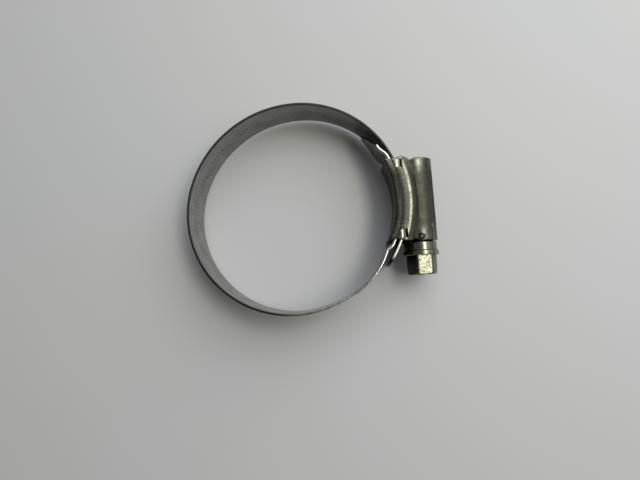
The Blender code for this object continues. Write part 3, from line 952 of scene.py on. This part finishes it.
def turned_rows():
    """(y, radius for an angle) down the screw, from the hex's end face to the worm's tip."""
    flat = HEX_FLATS / 2
    ease = TURNED_EASE
    rows = [(HEX_END, lambda a: min(hex_radius(a), HEX_END_SHARE * flat))]
    for y in spread(HEX_END + CHAMFER[0], HEX_END + CHAMFER[1], CHAMFER_STEP):
        cone = HEX_CONE_SHARE * flat + (y - HEX_END) * HEX_CONE
        rows.append((y, lambda a, cone=cone: min(hex_radius(a), cone)))
    for y in spread(HEX_END + HEX_BODY, HEX_START, HEX_STEP):
        rows.append((y, hex_radius))

    def shouldered(low, high, radius):
        for t in (0.0, 0.3, 1.0):
            rows.append((low + ease * t, lambda a, r=radius - ease * (1 - t) ** 2: r))
        for t in (1.0, 0.3, 0.0):
            rows.append((high - ease * t, lambda a, r=radius - ease * (1 - t) ** 2: r))

    shouldered(HEX_START, FLANGE_START, FLANGE_RADIUS)
    shouldered(FLANGE_START, COLLAR_START, COLLAR_RADIUS)
    rows.append((COLLAR_START, lambda a: NECK_RADIUS))
    rows.append((WORM_START - NECK_STOP, lambda a: NECK_RADIUS))
    for y in spread(WORM_START, WORM_END, THREAD_PITCH / WORM_ROWS):
        rows.append((y, lambda a, y=y: worm_radius(y, a)))
    rows.append((WORM_END + TIP_CHAMFER, lambda a: ROOT_RADIUS - TIP_CHAMFER))
    return rows


def build_screw(material):
    rows = []
    for y, radius in turned_rows():
        ring = []
        for i in range(SCREW_POINTS):
            angle = HEX_TURN + 30.0 + i * 360.0 / SCREW_POINTS
            a, r = math.radians(angle), radius(angle)
            ring.append(Vector((SCREW_X + r * math.sin(a), y, r * math.cos(a))))
        rows.append(ring)
    screw = rows_to_mesh("screw_turned", rows, material, True, True)
    half = SLOT_WIDTH / 2
    reach = SLOT_REACH * HEX_FLATS / 2
    corners = [(SCREW_X - reach, -half), (SCREW_X + reach, -half),
               (SCREW_X + reach, half), (SCREW_X - reach, half)]
    cutter = prism("driver_slot", corners, HEX_END - SLOT_DEPTH, HEX_END + SLOT_DEPTH, material)
    carve(screw, cutter)
    smooth(screw.data, SCREW_SHARP)
    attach(screw, "screw")
    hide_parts("worm_screw")


# ------------------------------------------------------------------ stage

def build_floor():
    size = FLOOR_HALF
    level = CAD_BOX[0].z - FLOOR_DROP
    mesh = bpy.data.meshes.new("floor")
    corners = [(-size, -size, level), (size, -size, level), (size, size, level), (-size, size, level)]
    mesh.from_pydata(corners, [], [(0, 1, 2, 3)])
    floor = bpy.data.objects.new("floor", mesh)
    bpy.context.scene.collection.objects.link(floor)
    material = bpy.data.materials.new("pale_board")
    material.use_nodes = True
    n = Nodes(material.node_tree)
    shader = material.node_tree.nodes["Principled BSDF"]
    vector = n.add("ShaderNodeTexCoord").outputs["Object"]
    cloud = n.noise(vector, 14.0, 2.0, 0.5)
    colour = n.mix(n.ranged(cloud, 0.35, 0.65), *FLOOR_COLOURS)
    n.link(colour, shader.inputs["Base Color"])
    fine = n.noise(vector, 1500.0, 3.0, 0.5)
    bump = n.add("ShaderNodeBump")
    bump.inputs["Strength"].default_value = 0.06
    bump.inputs["Distance"].default_value = 0.05 * MM
    n.link(fine, bump.inputs["Height"])
    n.link(bump.outputs["Normal"], shader.inputs["Normal"])
    shader.inputs["Roughness"].default_value = 0.6
    mesh.materials.append(material)


def area_light(name, toward, distance, size, power, colour):
    """A soft panel in that direction from the middle of the loop, facing it."""
    data = bpy.data.lights.new(name, "AREA")
    data.shape = "RECTANGLE"
    data.size, data.size_y = size
    data.energy = power
    data.color = colour
    light = bpy.data.objects.new(name, data)
    bpy.context.scene.collection.objects.link(light)
    toward = Vector(toward).normalized()
    light.location = toward * distance
    light.rotation_euler = toward.to_track_quat("Z", "Y").to_euler()


def build_light():
    world = bpy.data.worlds.new("studio")
    world.use_nodes = True
    background = world.node_tree.nodes["Background"]
    background.inputs["Color"].default_value = WORLD_COLOUR
    background.inputs["Strength"].default_value = 1.0
    bpy.context.scene.world = world
    for panel in PANELS:
        area_light(*panel)


def build_camera():
    data = bpy.data.cameras.new("camera")
    data.sensor_width = 36.0
    data.lens = LENS
    data.clip_start = 0.005
    camera = bpy.data.objects.new("camera", data)
    bpy.context.scene.collection.objects.link(camera)
    camera.location = CAMERA_PLACE
    camera.rotation_euler = [math.radians(a) for a in CAMERA_TURN]
    bpy.context.scene.camera = camera


GROUPS = {
    "grain": rolled_grain_group(),
    "marks": handling_group(),
    "edges": edge_group(),
    "thread": thread_group(),
    "housing": housing_wear_and_light_group(),
    "screw": screw_face_highlight_group(),
}


def main():
    band_steel = steel("band_steel_worn_with_painted_light", BAND_COLOURS, 0.24, 0.15, 1.5, "thread", coords="UV")
    housing_steel = steel("housing_steel_worn_with_painted_light", HOUSING_COLOURS, 0.27, 0.8, 2.3, "housing")
    screw_steel = steel("screw_steel_worn_with_painted_light", SCREW_COLOURS, 0.26, 0.8, 2.6, "screw")
    build_band(band_steel)
    build_housing(housing_steel)
    build_screw(screw_steel)
    build_floor()
    build_light()
    build_camera()
    bpy.context.scene.view_settings.view_transform = "Standard"


main()
